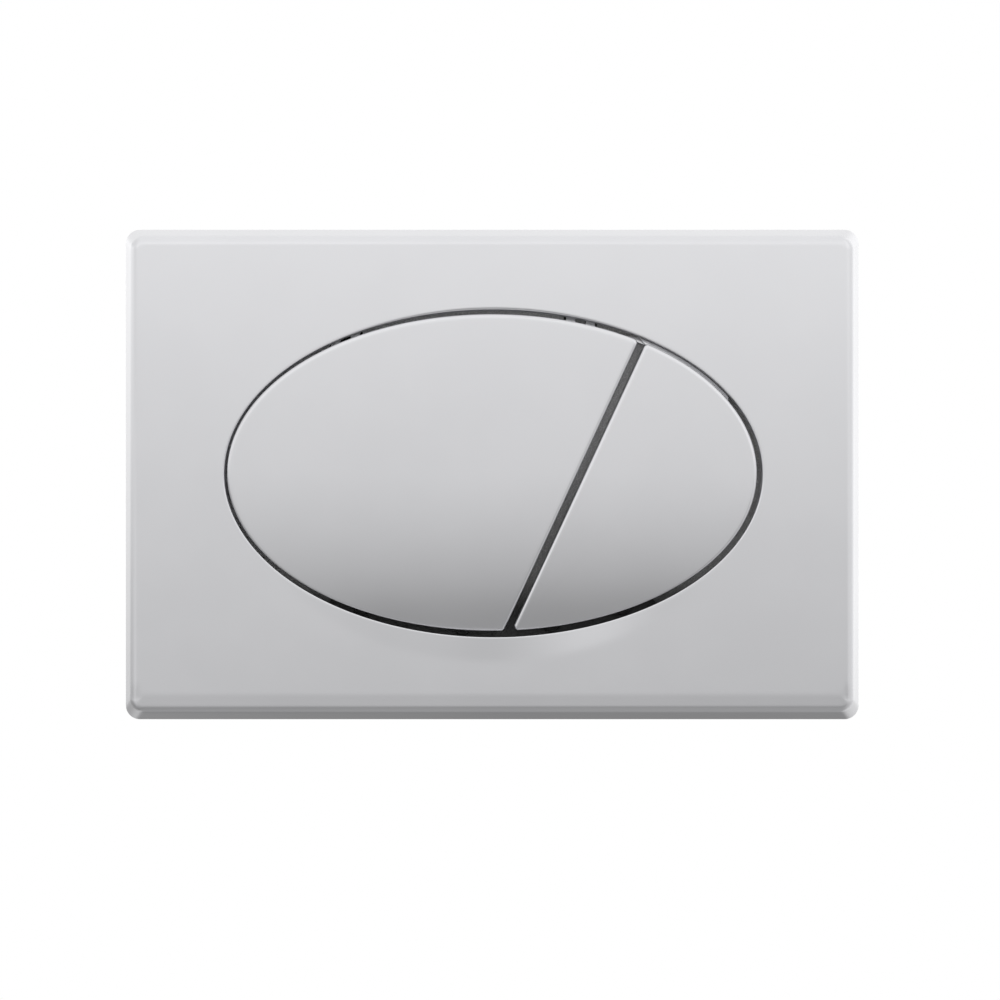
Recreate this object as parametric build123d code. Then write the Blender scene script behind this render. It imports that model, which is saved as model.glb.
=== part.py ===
from build123d import *
import os
from math import cos, radians, sin, sqrt, tan

# Flush button plate for a cistern that is built into the wall.
# X points right, Z up and the front faces -Y. The wall is the plane y = 0. Millimetres.

# Front plate
plate_width = 247.0
plate_height = 165.0
plate_depth = 13.0
plate_skin = 2.4
plate_draft = 17.0
plate_corner_round = 4.7
plate_edge_round = 2.7
cavity_corner_round = 2.3
bevel_rise = 9.5
bevel_angle = 2.8
crease_ease = 1.0

# Oval opening in the plate, its collar and the finger scoop below it
oval_side_margin = 34.25
oval_top_margin = 28.15
oval_edge_round = 1.2
collar_wall = 1.6
collar_depth = 4.4
scoop_side_inset = 10.75
scoop_drop = 9.95
scoop_reach = 7.6
scoop_depth = 0.3

# Ribs behind the plate
plate_rib = 1.2
plate_rib_places = (-80.0, -40.0, 0.0, 40.0, 80.0)

# Buttons and the slanted gap between them
button_gap = 1.8
button_proud = 1.5
button_depth = 8.0
button_skin = 2.2
button_wall = 1.8
button_edge_round = 1.2
button_corner_round = 1.5
crown_drop = 4.6
crown_slope = 15.6
crown_ease = 30.0
crown_lead = 12.3
divider_gap = 2.4
divider_lean = 24.9
half_button_reach = 59.85
button_rib = 1.2
button_rib_depth = 6.0
full_upright_ribs = (-66.0, -18.0, 6.0)
half_upright_ribs = (64.0,)
button_cross_rib = 18.0

# Lip under the collar beside the hinges
lip_reach = 3.0
lip_thickness = 1.4
lip_clearance = 0.6
lip_end_gap = 2.0

# Hinges at the top of the buttons
press_travel = 6.9
hinge_rise = 3.0
half_hinge_drop = 9.0
hinge_setback = 8.0
hinge_pin_diameter = 3.0
hinge_pin_end = 0.6
eye_wall = 1.5
lug_width = 3.0
lug_back = 2.0
lug_root = 12.0
lug_play = 0.2
bracket_width = 3.1
bracket_foot = 7.0
pin_clearance = 0.06
full_hinge_inset = 40.35
full_hinge_from_divider = 26.5
half_hinge_inset = 16.25
half_hinge_from_divider = 8.2

# Push rods with their heads, lock nuts, guides and springs
rod_spacing = 84.0
rod_drop = 12.0
rod_diameter = 6.0
rod_reach = 66.0
rod_tip_diameter = 5.0
rod_tip_length = 12.0
rod_tip_round = 1.2
rod_clearance = 0.06
thread_clearance = 0.04
post_diameter = 8.0
post_overhang = 3.6
post_tip_round = 1.5
contact_gap = 0.3
head_diameter = 16.0
head_thickness = 2.4
head_web = 1.0
hub_diameter = 9.0
hub_length = 3.0
rod_nut_across = 10.0
rod_nut_thickness = 2.8
spring_length = 11.2
spring_turns = 4.5
spring_wire = 1.0
spring_inner_diameter = 12.4
spring_end_gap = 0.1
guide_flange_diameter = 16.0
guide_flange_thickness = 1.5
guide_diameter = 10.0
guide_length = 8.0

# Carrier behind the opening
tub_margin = 2.0
tub_wall = 1.8
tub_floor = 2.0
bay_clearance = 1.0
flange_thickness = 2.0
flange_side_margin = 2.5
flange_top_margin = 1.0
flange_corner_round = 9.0
cup_clearance = 1.0
cup_wall = 1.8
cup_floor = 2.0
carrier_rib = 1.6
carrier_rib_depth = 4.0
carrier_window_width = 20.0
carrier_window_height = 22.0
carrier_window_rise = 18.0
carrier_window_inset = 29.25
carrier_window_spacing = 28.0
carrier_window_round = 3.0

# Shield on the carrier that closes the view through the gaps: a shelf round the upper part of the
# opening and a wall under the divider, both sloping like the pressed buttons
shield_width = 7.0
shield_clearance = 0.6
shield_low = -10.0
shield_hinge_play = 0.8

# Stop pads under the skirts and stop hooks behind the floor
pad_diameter = 6.0
pad_height = 1.8
pad_clearance = 0.4
pad_place = 44.0
pad_from_divider = 15.0
hook_width = 5.0
hook_thickness = 1.6
hook_barb = 1.4
hook_barb_depth = 2.0
hook_clearance = 0.4
hook_window_play = 0.6
full_hook_place = (-24.0, -37.0)
half_hook_place = (50.0, -30.0)

# Screws that hold the carrier to the plate's bosses
screw_diameter = 2.9
screw_head_diameter = 5.6
screw_head_height = 2.0
screw_clearance = 0.05
screw_hole_clearance = 0.2
pilot_spare = 0.4
boss_diameter = 6.6
boss_inset = 6.0

# Mounting frame, studs and hand nuts
frame_side_clearance = 5.1
frame_top_clearance = 4.1
frame_thickness = 4.0
frame_corner_round = 6.0
frame_clearance = 1.2
frame_gap = 0.6
frame_pocket_depth = 1.6
frame_pocket_wall = 2.0
frame_pocket_length = 18.0
frame_pocket_places = (-36.0, -12.0, 12.0, 36.0)
stud_diameter = 6.0
stud_reach = 60.0
stud_end_chamfer = 0.8
stud_thread_diameter = 5.35
stud_front_gap = 1.0
slot_width = 7.0
slot_length = 13.0
hand_nut_diameter = 12.0
hand_nut_height = 5.0
hand_nut_flange_diameter = 14.6
hand_nut_flange_thickness = 1.4
hand_nut_flutes = 12
flute_diameter = 1.8

# Snap tongues of the plate and their windows in the frame
tongue_place = 60.0
tongue_width = 10.0
tongue_thickness = 1.6
tongue_clearance = 0.4
tongue_back_gap = 0.5
barb_height = 1.0
barb_nose = 0.2
barb_gap = 0.2
catch_thickness = 2.0

# How far a feature runs into the wall it is moulded on, how far a cut runs past the face that it
# opens, and how near an edge must lie to a place to be picked there
root = 0.4
overrun = 1.0
near = 0.1

# Levels along Y, from the front to the back
plate_front = -plate_depth
skin_back = plate_front + plate_skin
bevel_back = plate_front + bevel_rise * tan(radians(bevel_angle))
crease_z = bevel_rise - plate_height / 2
collar_back = plate_front + collar_depth
crown_front = plate_front - button_proud
skirt_back = crown_front + button_depth
button_rib_back = crown_front + button_rib_depth
lip_front = collar_back + lip_clearance
hinge_y = plate_front + hinge_setback
frame_front = -frame_thickness
flange_back = frame_front - frame_gap
flange_front = flange_back - flange_thickness

# Half sizes of the opening and of the buttons' joint outline
oval_half_width = plate_width / 2 - oval_side_margin
oval_half_height = plate_height / 2 - oval_top_margin
button_half_width = oval_half_width - button_gap
button_half_height = oval_half_height - button_gap

# Hinge lines, and where the leaning divider meets them and the lower edge of the buttons
full_hinge_z = oval_half_height + hinge_rise
half_hinge_z = full_hinge_z - half_hinge_drop
divider_slope = tan(radians(divider_lean))
divider_offset = oval_half_width - half_button_reach
divider_at_full = divider_offset + full_hinge_z * divider_slope
divider_at_half = divider_offset + half_hinge_z * divider_slope
divider_low = divider_offset - button_half_height * divider_slope

# Hinges, from the left to the right
eye_radius = hinge_pin_diameter / 2 + eye_wall
lug_inner = bracket_width / 2 + lug_play
clevis_half_width = lug_inner + lug_width
full_hinges = (full_hinge_inset - oval_half_width, divider_at_full - full_hinge_from_divider)
half_hinges = (divider_at_half + half_hinge_from_divider, oval_half_width - half_hinge_inset)

# Stop pads behind the skirts at full press, and the tub floor behind them
pad_front = skirt_back + press_travel + pad_clearance
floor_front = pad_front + pad_height
floor_back = floor_front + tub_floor
carrier_rib_back = floor_back + carrier_rib_depth

# Steepest press of the two buttons, which the shield's front follows
press_lean = max(press_travel / (hinge_z + button_half_height) for hinge_z in (full_hinge_z, half_hinge_z))

# Tub with the hinge bay above it, and the flange round both
tub_half_width = oval_half_width + tub_margin
tub_half_height = oval_half_height + tub_margin
bay_top = full_hinge_z + eye_radius + bay_clearance
bay_left = min(full_hinges) - clevis_half_width - tub_margin
bay_right = max(half_hinges) + clevis_half_width + tub_margin
flange_half_width = tub_half_width + tub_wall + flange_side_margin
flange_half_height = bay_top + tub_wall + flange_top_margin
boss_x = flange_half_width - boss_inset
boss_z = flange_half_height - boss_inset

# Levels and places of the push rods
rod_x = rod_spacing / 2
rod_z = -rod_drop
post_tip = skirt_back + post_overhang
head_front = post_tip + contact_gap
head_back = head_front + head_thickness
hub_back = head_back + hub_length
rod_front = head_front + head_web
spring_back = head_back + spring_length
cup_front = spring_back + guide_flange_thickness
cup_back = cup_front + cup_floor
cup_diameter = max(head_diameter, guide_flange_diameter) + 2 * cup_clearance

# Mounting frame, with studs and snap tongues in the middle of its bars
frame_half_width = plate_width / 2 - plate_skin - frame_side_clearance
frame_half_height = plate_height / 2 - plate_skin - frame_top_clearance
opening_half_width = flange_half_width + frame_clearance
opening_half_height = flange_half_height + frame_clearance
stud_x = (frame_half_width + opening_half_width) / 2
tongue_z = (frame_half_height + opening_half_height) / 2
frame_bar = frame_half_height - opening_half_height

# The two buttons: the side of the divider, the hinges and the other places of each
full = {
    "side": -1,
    "hinge_z": full_hinge_z,
    "hinges": full_hinges,
    "ribs": full_upright_ribs,
    "hook": full_hook_place,
    "pads": (-pad_place, divider_low - pad_from_divider),
    "lip": (max(full_hinges) + clevis_half_width, plate_width),
}
half = {
    "side": 1,
    "hinge_z": half_hinge_z,
    "hinges": half_hinges,
    "ribs": half_upright_ribs,
    "hook": half_hook_place,
    "pads": (divider_low + pad_from_divider, pad_place),
    "lip": (0.0, bay_right - lip_end_gap),
}


def facing(y):
    # sketch plane at depth y as the viewer sees it: x right, z up, normal to the front
    return Plane(origin=(0, y, 0), x_dir=(1, 0, 0), z_dir=(0, -1, 0))


def prism(sketch, front, back):
    # a front-view sketch carried along Y
    return extrude(facing(back) * sketch, amount=back - front)


def bar(diameter, front, back, x=0.0, z=0.0):
    # a round bar along Y
    return prism(Pos(x, z) * Circle(diameter / 2), front, back)


def cross_bar(diameter, left, right, y, z):
    # a round bar along X
    return Pos((left + right) / 2, y, z) * Rot(0, 90, 0) * Cylinder(diameter / 2, right - left)


def block(x, y, z):
    # a box between two limits on each axis
    limits = (x, y, z)
    return Pos(*[(low + high) / 2 for low, high in limits]) * Box(*[high - low for low, high in limits])


def upright_rib(x, thickness, front, back):
    # a rib at one place along X that runs from below the plate to above it
    return block((x - thickness / 2, x + thickness / 2), (front, back), (-plate_height, plate_height))


def level_rib(z, thickness, front, back):
    # a rib at one height that runs past both ends of the plate
    return block((-plate_width, plate_width), (front, back), (z - thickness / 2, z + thickness / 2))


def side_profile(points, left, right):
    # a closed outline of (y, z) points carried along X
    face = make_face(Polyline(*points, close=True))
    return Pos(left, 0, 0) * extrude(Plane.YZ * face, amount=right - left)


def group(pieces):
    # several separate solids that share one node
    return Compound(children=[solid for piece in pieces for solid in piece.solids()])


def corners(x, z):
    # the four corners of a rectangle about the middle
    return [(side * x, level * z) for side in (-1, 1) for level in (-1, 1)]


def edges_at(piece, y):
    # edges whose middle lies at one depth
    return piece.edges().filter_by_position(Axis.Y, y - near, y + near)


def drafted_box(width, height, depth, corner_round):
    # a box that narrows towards the front, with rounded upright corners
    box = extrude(facing(0) * Rectangle(width, height), amount=depth, taper=plate_draft)
    slanted = box.edges().filter_by_position(Axis.Y, near - depth, -near)
    return fillet(slanted, corner_round)


def scoop():
    # a very flat oval cone: its mouth lies on the front face and reaches below the opening
    half_width = oval_half_width - scoop_side_inset
    half_height = oval_half_height + scoop_reach - scoop_drop

    def ring(share):
        inset = share * scoop_reach
        outline = Ellipse(half_width - inset, half_height - inset)
        return facing(plate_front + share * scoop_depth) * Pos(0, -scoop_drop) * outline

    spare = overrun / scoop_depth
    return loft([ring(-spare), ring(1 + spare)])


def on_opening(edge):
    # true for an edge that lies on the wall of the oval opening
    def miss(point):
        share = sqrt((point.X / oval_half_width) ** 2 + (point.Z / oval_half_height) ** 2)
        return abs(share - 1) * oval_half_height

    return all(miss(point) < near for point in (edge @ 0, edge @ 0.5, edge @ 1))


def snap_tongue(x, level):
    # a springy tongue with a barb that faces away from the plate's middle
    inner = tongue_z - tongue_thickness / 2
    outer = tongue_z + tongue_thickness / 2
    catch = frame_front + catch_thickness + barb_gap
    points = [
        (skin_back - root, inner),
        (-tongue_back_gap, inner),
        (-tongue_back_gap, outer + barb_nose),
        (catch, outer + barb_height),
        (catch, outer),
        (skin_back - root, outer),
    ]
    signed = [(y, level * z) for y, z in points]
    return side_profile(signed, x - tongue_width / 2, x + tongue_width / 2)


def bevel_space():
    # the space behind the plate's front, which leans back below a soft crease
    slope = tan(radians(bevel_angle))
    foot = crease_z - plate_height
    top = (plate_front, crease_z + crease_ease)
    low = (plate_front + slope * crease_ease, crease_z - crease_ease)
    crease = Bezier(top, (plate_front, crease_z), low)
    bevel_end = (plate_front + slope * plate_height, foot)
    walls = Polyline(low, bevel_end, (0, foot), (0, plate_height), (plate_front, plate_height), top)
    return extrude(Plane.YZ * make_face([crease] + walls.edges()), amount=plate_width, both=True)


def front_plate():
    shell = drafted_box(plate_width, plate_height, plate_depth, plate_corner_round)
    shell &= bevel_space()
    front_edges = shell.edges().filter_by_position(Axis.Y, plate_front - near, bevel_back + near)
    crease_reach = crease_ease + near
    crease_lines = front_edges.filter_by(Axis.X)
    crease_lines = crease_lines.filter_by_position(Axis.Z, crease_z - crease_reach, crease_z + crease_reach)
    shell = fillet([edge for edge in front_edges if edge not in crease_lines], plate_edge_round)

    inner_width = plate_width - 2 * plate_skin
    inner_height = plate_height - 2 * plate_skin
    cavity = drafted_box(inner_width, inner_height, plate_depth - plate_skin, cavity_corner_round)
    collar = Ellipse(oval_half_width + collar_wall, oval_half_height + collar_wall)
    inside = cavity - prism(collar, skin_back - root, collar_back)
    for x in plate_rib_places:
        inside -= upright_rib(x, plate_rib, skin_back - root, collar_back)
    for x, z in corners(boss_x, boss_z):
        inside -= bar(boss_diameter, skin_back - root, flange_front, x, z)
    shell -= inside
    for x, z in corners(tongue_place, 1):
        shell += snap_tongue(x, z)

    shell -= prism(Ellipse(oval_half_width, oval_half_height), crown_front, 0)
    shell -= scoop()
    for x, z in corners(boss_x, boss_z):
        shell -= bar(screw_diameter + 2 * screw_clearance, skin_back - pilot_spare, flange_front, x, z)
    mouth = [edge for edge in shell.edges() if on_opening(edge) and edge.center().Y < skin_back]
    return fillet(mouth, oval_edge_round)


def joint_oval(side, inset):
    # outline of both buttons together, with its seam on the far side of the divider
    turn = 0 if side < 0 else 180
    return Rot(0, 0, turn) * Ellipse(button_half_width - inset, button_half_height - inset)


def beside_divider(side, inset):
    # the area on one side of the leaning divider
    reach = plate_width
    centre = side * ((reach + divider_gap) / 2 + inset)
    return Pos(divider_offset, 0) * Rot(0, 0, -divider_lean) * Pos(centre, 0) * Rectangle(reach, reach)


def button_outline(side, inset):
    # one side of the oval, cut by the leaning divider
    return joint_oval(side, inset) & beside_divider(side, inset)


def outline_height(x, inset):
    # height of the buttons' outline above its middle at a place along X
    share = x / (button_half_width - inset)
    return (button_half_height - inset) * sqrt(1 - share * share)


def crown_space(setback, back):
    # the space behind the buttons' face: flat above the middle, rolling back below it
    low = -button_half_height
    front = crown_front + setback
    lean = radians(crown_slope)
    end = Vector(front + crown_drop, low)
    lead = Vector(front + crown_drop - crown_lead * sin(lean), low + crown_lead * cos(lean))
    roll = Bezier((front, 0), (front, -crown_ease), lead, end)
    walls = Polyline(end, (back, low), (back, plate_height), (front, plate_height), (front, 0))
    face = make_face([roll] + walls.edges())
    return extrude(Plane.YZ * face, amount=plate_width, both=True)


def cap_space(side, inset, setback, back):
    # what lies behind the buttons' face and within one button's outline
    return prism(button_outline(side, inset), crown_front - overrun, back) & crown_space(setback, back)


def lug(side, hinge_z, left, right):
    # one ear of a hinge: a strap that runs from inside the cap to an eye behind the plate
    low = outline_height(max(abs(left), abs(right)), button_wall) - lug_root
    back = hinge_y + lug_back
    strap = block((left, right), (hinge_y - eye_radius, back), (low, hinge_z))
    inner = block((left, right), (crown_front, back), (low, hinge_z)) & cap_space(side, root, root, back)
    eye = cross_bar(2 * eye_radius, left, right, hinge_y, hinge_z)
    bore = cross_bar(hinge_pin_diameter + 2 * pin_clearance, left, right, hinge_y, hinge_z)
    return strap + inner + eye - bore


def stop_hook(x, z):
    # a tongue through the tub floor with a barb behind it
    sides = (x - hook_width / 2, x + hook_width / 2)
    catch = floor_back + hook_clearance
    end = catch + hook_barb_depth
    upper = z + hook_thickness / 2
    lower = z - hook_thickness / 2
    start = crown_front + button_skin
    points = [
        (start, upper),
        (end, upper),
        (end, lower),
        (catch, lower - hook_barb),
        (catch, lower),
        (start, lower),
    ]
    return side_profile(points, *sides)


def hinge_lip(button):
    # a ledge under the plate's collar along the hinge side
    side = button["side"]
    left, right = button["lip"]
    ring = joint_oval(side, -lip_reach) - joint_oval(side, button_wall)
    stretch = Pos((left + right) / 2, plate_height / 2) * Rectangle(right - left, plate_height)
    return prism(ring & beside_divider(side, 0) & stretch, lip_front, lip_front + lip_thickness)


def button_cap(button):
    side = button["side"]
    cap = cap_space(side, 0, 0, skirt_back)
    cap = fillet(cap.edges().filter_by(Axis.Y), button_corner_round)
    rim = [edge for edge in cap.edges() if edge.bounding_box().max.Y < skirt_back - root]
    rim = [edge for edge in rim if edge.bounding_box().size.Z > root]
    cap = fillet(rim, button_edge_round)
    cap -= cap_space(side, button_wall, button_skin, skirt_back)

    space = cap_space(side, root, root, button_rib_back)
    for x in button["ribs"] + (side * rod_x,):
        cap += upright_rib(x, button_rib, crown_front, button_rib_back) & space
    for z in (rod_z, button_cross_rib):
        cap += level_rib(z, button_rib, crown_front, button_rib_back) & space
    for x in button["hinges"]:
        cap += lug(side, button["hinge_z"], x + lug_inner, x + clevis_half_width)
        cap += lug(side, button["hinge_z"], x - clevis_half_width, x - lug_inner)
    cap += hinge_lip(button)
    cap += stop_hook(*button["hook"])
    post = bar(post_diameter, crown_front + button_skin / 2, post_tip, side * rod_x, rod_z)
    cap += fillet(edges_at(post, post_tip), post_tip_round)
    return cap


def hinge_pins(button):
    reach = clevis_half_width + hinge_pin_end
    pins = []
    for x in button["hinges"]:
        pins.append(cross_bar(hinge_pin_diameter, x - reach, x + reach, hinge_y, button["hinge_z"]))
    return group(pins)


def push_rod(side):
    x = side * rod_x
    shank = bar(rod_diameter, rod_front, rod_reach - rod_tip_length, x, rod_z)
    tip = bar(rod_tip_diameter, rod_reach - rod_tip_length, rod_reach, x, rod_z)
    return shank + fillet(edges_at(tip, rod_reach), rod_tip_round)


def rod_head(side):
    x = side * rod_x
    head = bar(head_diameter, head_front, head_back, x, rod_z)
    head += bar(hub_diameter, head_back, hub_back, x, rod_z)
    return head - bar(rod_diameter + 2 * thread_clearance, rod_front, hub_back, x, rod_z)


def rod_nut(side):
    x = side * rod_x
    flats = RegularPolygon(rod_nut_across / 2, 6, major_radius=False)
    nut = prism(Pos(x, rod_z) * flats, hub_back, hub_back + rod_nut_thickness)
    return nut - bar(rod_diameter + 2 * thread_clearance, hub_back, hub_back + rod_nut_thickness, x, rod_z)


def rod_guide(side):
    x = side * rod_x
    back = cup_front + guide_length
    guide = bar(guide_flange_diameter, spring_back, cup_front, x, rod_z)
    guide += bar(guide_diameter, cup_front, back, x, rod_z)
    return guide - bar(rod_diameter + 2 * rod_clearance, spring_back, back, x, rod_z)


def return_spring(side):
    # square wire wound along Y
    height = spring_length - spring_wire - 2 * spring_end_gap
    radius = (spring_inner_diameter + spring_wire) / 2
    coil = Helix(pitch=height / spring_turns, height=height, radius=radius)
    start = Plane(origin=coil @ 0, x_dir=(1, 0, 0), z_dir=coil % 0)
    wire = sweep(start * Rectangle(spring_wire, spring_wire), path=coil, is_frenet=True)
    foot = head_back + spring_end_gap + spring_wire / 2
    return Pos(side * rod_x, foot, rod_z) * Rot(-90, 0, 0) * wire


def tub_outline(extra):
    bay = Pos((bay_left + bay_right) / 2, (bay_top + extra) / 2)
    bay *= Rectangle(bay_right - bay_left + 2 * extra, bay_top + extra)
    return Ellipse(tub_half_width + extra, tub_half_height + extra) + bay


def hinge_bracket(x, hinge_z):
    # a web from the tub's floor and top wall that holds a hinge pin between the two ears
    sides = (x - bracket_width / 2, x + bracket_width / 2)
    web = block(sides, (hinge_y, floor_front + root), (hinge_z - eye_radius - bracket_foot, bay_top + root))
    eye = cross_bar(2 * eye_radius, *sides, hinge_y, hinge_z)
    return web + eye - cross_bar(hinge_pin_diameter, *sides, hinge_y, hinge_z)


def gap_shield():
    # a shelf along the tub's wall and a wall under the divider, cut to the slope of the pressed buttons
    above = Pos(0, shield_low + plate_height / 2) * Rectangle(plate_width, plate_height)
    middle = Ellipse(tub_half_width - shield_width, tub_half_height - shield_width)
    shelf = (tub_outline(root) - middle) & above
    wall = Pos(divider_offset, 0) * Rot(0, 0, -divider_lean) * Rectangle(shield_width, 2 * plate_height)
    outline = shelf + (wall & tub_outline(root))
    level = skirt_back + shield_clearance
    back = floor_front + root
    low = level + press_lean * (full_hinge_z + tub_half_height)
    slope = [(level, full_hinge_z), (low, -tub_half_height)]
    behind = slope + [(back, -tub_half_height), (back, bay_top), (level, bay_top)]
    shield = prism(outline, level, back) & side_profile(behind, -plate_width, plate_width)
    for side in (-1, 1):
        shield -= bar(cup_diameter, level, back, side * rod_x, rod_z)
    for button in (full, half):
        for x in button["hinges"]:
            reach = clevis_half_width + shield_hinge_play
            shield -= block((x - reach, x + reach), (level, floor_front), (0, plate_height))
    return shield


def button_carrier():
    flange = RectangleRounded(2 * flange_half_width, 2 * flange_half_height, flange_corner_round)
    carrier = prism(flange, flange_front, flange_back)
    carrier += prism(tub_outline(tub_wall), flange_front, floor_back)
    ribs = level_rib(rod_z, carrier_rib, floor_front, carrier_rib_back)
    for side in (-1, 1):
        ribs += upright_rib(side * rod_x, carrier_rib, floor_front, carrier_rib_back)
    carrier += ribs & prism(tub_outline(0), floor_front, carrier_rib_back)
    for side in (-1, 1):
        carrier += bar(cup_diameter + 2 * cup_wall, floor_front, cup_back, side * rod_x, rod_z)
    carrier -= prism(tub_outline(0), flange_front, floor_front)
    for side in (-1, 1):
        carrier -= bar(cup_diameter, floor_front, cup_front, side * rod_x, rod_z)
        carrier -= bar(guide_diameter, cup_front, cup_back, side * rod_x, rod_z)

    window = RectangleRounded(carrier_window_width, carrier_window_height, carrier_window_round)
    for place in (carrier_window_spacing / 2, oval_half_width - carrier_window_inset):
        for x in (-place, place):
            carrier -= prism(Pos(x, carrier_window_rise) * window, floor_front, floor_back)
    for button in (full, half):
        x, z = button["hook"]
        low = z - hook_thickness / 2 - hook_window_play
        high = z + hook_thickness / 2 + hook_barb + hook_window_play
        wide = hook_width / 2 + hook_window_play
        carrier -= block((x - wide, x + wide), (floor_front, floor_back), (low, high))
        for place in button["hinges"]:
            carrier += hinge_bracket(place, button["hinge_z"])
    carrier += gap_shield()
    for x, z in corners(boss_x, boss_z):
        carrier -= bar(screw_diameter + 2 * screw_hole_clearance, flange_front, flange_back, x, z)
    return carrier


def carrier_screws():
    screws = []
    for x, z in corners(boss_x, boss_z):
        head = bar(screw_head_diameter, flange_back, flange_back + screw_head_height, x, z)
        screws.append(head + bar(screw_diameter, skin_back, flange_back, x, z))
    return group(screws)


def stop_pads():
    pads = []
    for x in full["pads"] + half["pads"]:
        pads.append(bar(pad_diameter, pad_front, floor_front, x, -outline_height(x, button_wall / 2)))
    return group(pads)


def tongue_window(x, level):
    # a window through the frame's bar, wider at the back where the barb sits
    sides = (x - tongue_width / 2 - tongue_clearance, x + tongue_width / 2 + tongue_clearance)
    inner = tongue_z - tongue_thickness / 2 - tongue_clearance
    outer = tongue_z + tongue_thickness / 2 + tongue_clearance
    catch = frame_front + catch_thickness
    points = [
        (frame_front, inner),
        (0, inner),
        (0, outer + barb_height),
        (catch, outer + barb_height),
        (catch, outer),
        (frame_front, outer),
    ]
    return side_profile([(y, level * z) for y, z in points], *sides)


def mounting_frame():
    outside = RectangleRounded(2 * frame_half_width, 2 * frame_half_height, frame_corner_round)
    opening_round = flange_corner_round + frame_clearance
    opening = RectangleRounded(2 * opening_half_width, 2 * opening_half_height, opening_round)
    frame = prism(outside - opening, frame_front, 0)
    slot = SlotOverall(slot_length, slot_width, rotation=90)
    for side in (-1, 1):
        frame -= prism(Pos(side * stud_x, 0) * slot, frame_front, 0)
    for x, level in corners(tongue_place, 1):
        frame -= tongue_window(x, level)
    pocket = Rectangle(frame_pocket_length, frame_bar - 2 * frame_pocket_wall)
    for x in frame_pocket_places:
        for level in (-1, 1):
            frame -= prism(Pos(x, level * tongue_z) * pocket, frame_front, frame_front + frame_pocket_depth)
    return frame


def fixing_stud(side):
    x = side * stud_x
    shank = bar(stud_diameter, 0, stud_reach, x)
    shank = chamfer(edges_at(shank, stud_reach), stud_end_chamfer)
    return shank + bar(stud_thread_diameter, skin_back + stud_front_gap, 0, x)


def clamp_nut(side):
    x = side * stud_x
    seat = frame_front - hand_nut_flange_thickness
    front = frame_front - hand_nut_height
    grip = Circle(hand_nut_diameter / 2)
    grip -= PolarLocations(hand_nut_diameter / 2, hand_nut_flutes) * Circle(flute_diameter / 2)
    nut = prism(Pos(x, 0) * grip, front, seat)
    nut += bar(hand_nut_flange_diameter, seat, frame_front, x)
    return nut - bar(stud_thread_diameter + 2 * thread_clearance, front, frame_front, x)


nodes = {
    "front_plate": front_plate(),
    "button_carrier": button_carrier(),
    "carrier_screws": carrier_screws(),
    "mounting_frame": mounting_frame(),
    "fixing_stud_left": fixing_stud(-1),
    "fixing_stud_right": fixing_stud(1),
    "clamp_nut_left": clamp_nut(-1),
    "clamp_nut_right": clamp_nut(1),
    "stop_pads": stop_pads(),
}
for name, button in (("full", full), ("half", half)):
    nodes[f"{name}_button"] = button_cap(button)
    nodes[f"{name}_hinge_pins"] = hinge_pins(button)
    nodes[f"{name}_push_rod"] = push_rod(button["side"])
    nodes[f"{name}_rod_head"] = rod_head(button["side"])
    nodes[f"{name}_rod_nut"] = rod_nut(button["side"])
    nodes[f"{name}_rod_guide"] = rod_guide(button["side"])
    nodes[f"{name}_return_spring"] = return_spring(button["side"])

os.makedirs("parts", exist_ok=True)
for name, piece in nodes.items():
    export_step(piece, f"parts/{name}.step")
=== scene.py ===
from math import cos, pi, prod, radians, sin, sqrt, tan
import bmesh
import bpy
import numpy as np
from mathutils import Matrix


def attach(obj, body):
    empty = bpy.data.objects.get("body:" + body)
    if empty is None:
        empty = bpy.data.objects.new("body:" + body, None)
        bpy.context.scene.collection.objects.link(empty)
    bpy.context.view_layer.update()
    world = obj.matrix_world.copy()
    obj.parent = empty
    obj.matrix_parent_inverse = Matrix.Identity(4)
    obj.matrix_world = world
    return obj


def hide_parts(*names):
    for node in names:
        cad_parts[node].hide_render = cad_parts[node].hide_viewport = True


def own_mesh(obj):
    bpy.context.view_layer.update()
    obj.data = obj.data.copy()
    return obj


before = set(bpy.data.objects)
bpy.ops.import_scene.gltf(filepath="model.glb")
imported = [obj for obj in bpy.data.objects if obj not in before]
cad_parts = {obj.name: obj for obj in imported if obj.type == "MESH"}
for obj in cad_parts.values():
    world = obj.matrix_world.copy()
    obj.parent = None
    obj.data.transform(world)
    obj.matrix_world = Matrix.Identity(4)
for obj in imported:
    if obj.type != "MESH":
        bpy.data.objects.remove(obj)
bpy.context.view_layer.update()
mm = 0.001
print("frame loaded:", len(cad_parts), "nodes")


# Mesh helpers, in millimetres: X is right, Z up and -Y the front, from where a ring runs anticlockwise

def ringAt(outline, depth):  # an (x, z) outline set at one depth, or at a depth for each point
    return np.stack([outline[:, 0], np.broadcast_to(depth, len(outline)), outline[:, 1]], 1)


def stack(rows, poles=False, wrap=False):  # skin over a pile of closed rings, with quads between neighbours
    rows = np.asarray(rows)
    count, size = rows.shape[:2]
    here = np.arange(count * size).reshape(count, size)
    thisRow = here if wrap else here[:-1]
    nextRow = np.roll(here, -1, 0) if wrap else here[1:]
    quads = np.stack([thisRow, np.roll(thisRow, -1, 1), np.roll(nextRow, -1, 1), nextRow], 2)
    points = rows.reshape(-1, 3)
    faces = quads.reshape(-1, 4).tolist()
    if poles:  # each end closes in a fan round the middle of its ring
        points = np.vstack([points, rows[0].mean(0), rows[-1].mean(0)])
        first, last = here[0], here[-1]
        pole = np.full(size, count * size)
        faces += np.stack([pole, np.roll(first, -1), first], 1).tolist()
        faces += np.stack([last, np.roll(last, -1), pole + 1], 1).tolist()
    return points, faces


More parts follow.
